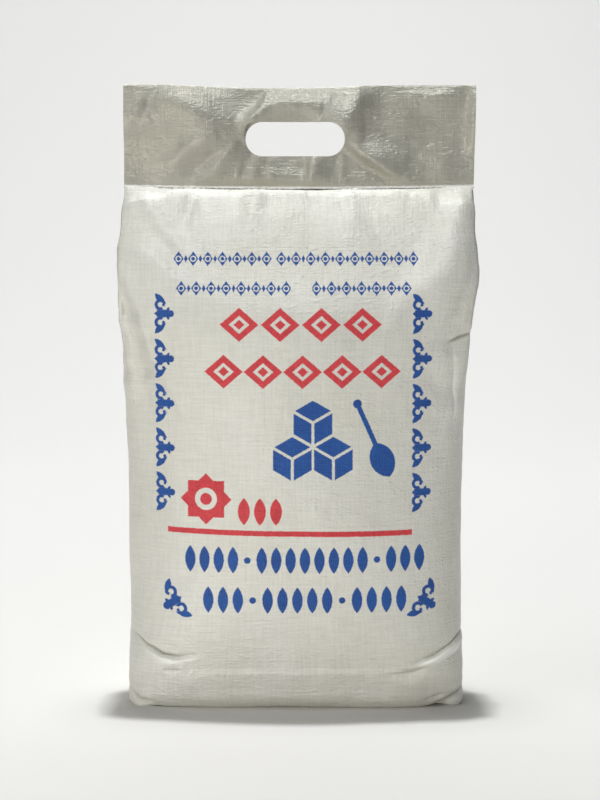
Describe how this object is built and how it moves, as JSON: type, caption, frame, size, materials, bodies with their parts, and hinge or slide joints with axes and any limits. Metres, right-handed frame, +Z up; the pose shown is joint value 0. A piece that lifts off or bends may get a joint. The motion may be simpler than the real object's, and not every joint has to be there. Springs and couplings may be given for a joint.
{
  "type": "bag of sugar",
  "caption": "Filled woven plastic sack with side gussets, a folded flat header and a punched hand slot; it stands on its base.",
  "frame": {"origin": "on the ground under the middle of the bounding box, sideways and front to back", "axes": "+Z up towards the header, +X to the right of a viewer who faces the printed side, -Y out of the printed side"},
  "size_m": [0.2826, 0.1506, 0.488],
  "materials": {
    "filled_weave": "laminated woven tape, satin",
    "header_weave": "laminated woven tape, satin, seen without filling behind it"
  },
  "bodies": {
    "root": {"sack_body": "filled_weave", "header_panel": "header_weave", "header_flap": "header_weave"}
  },
  "joints": []
}
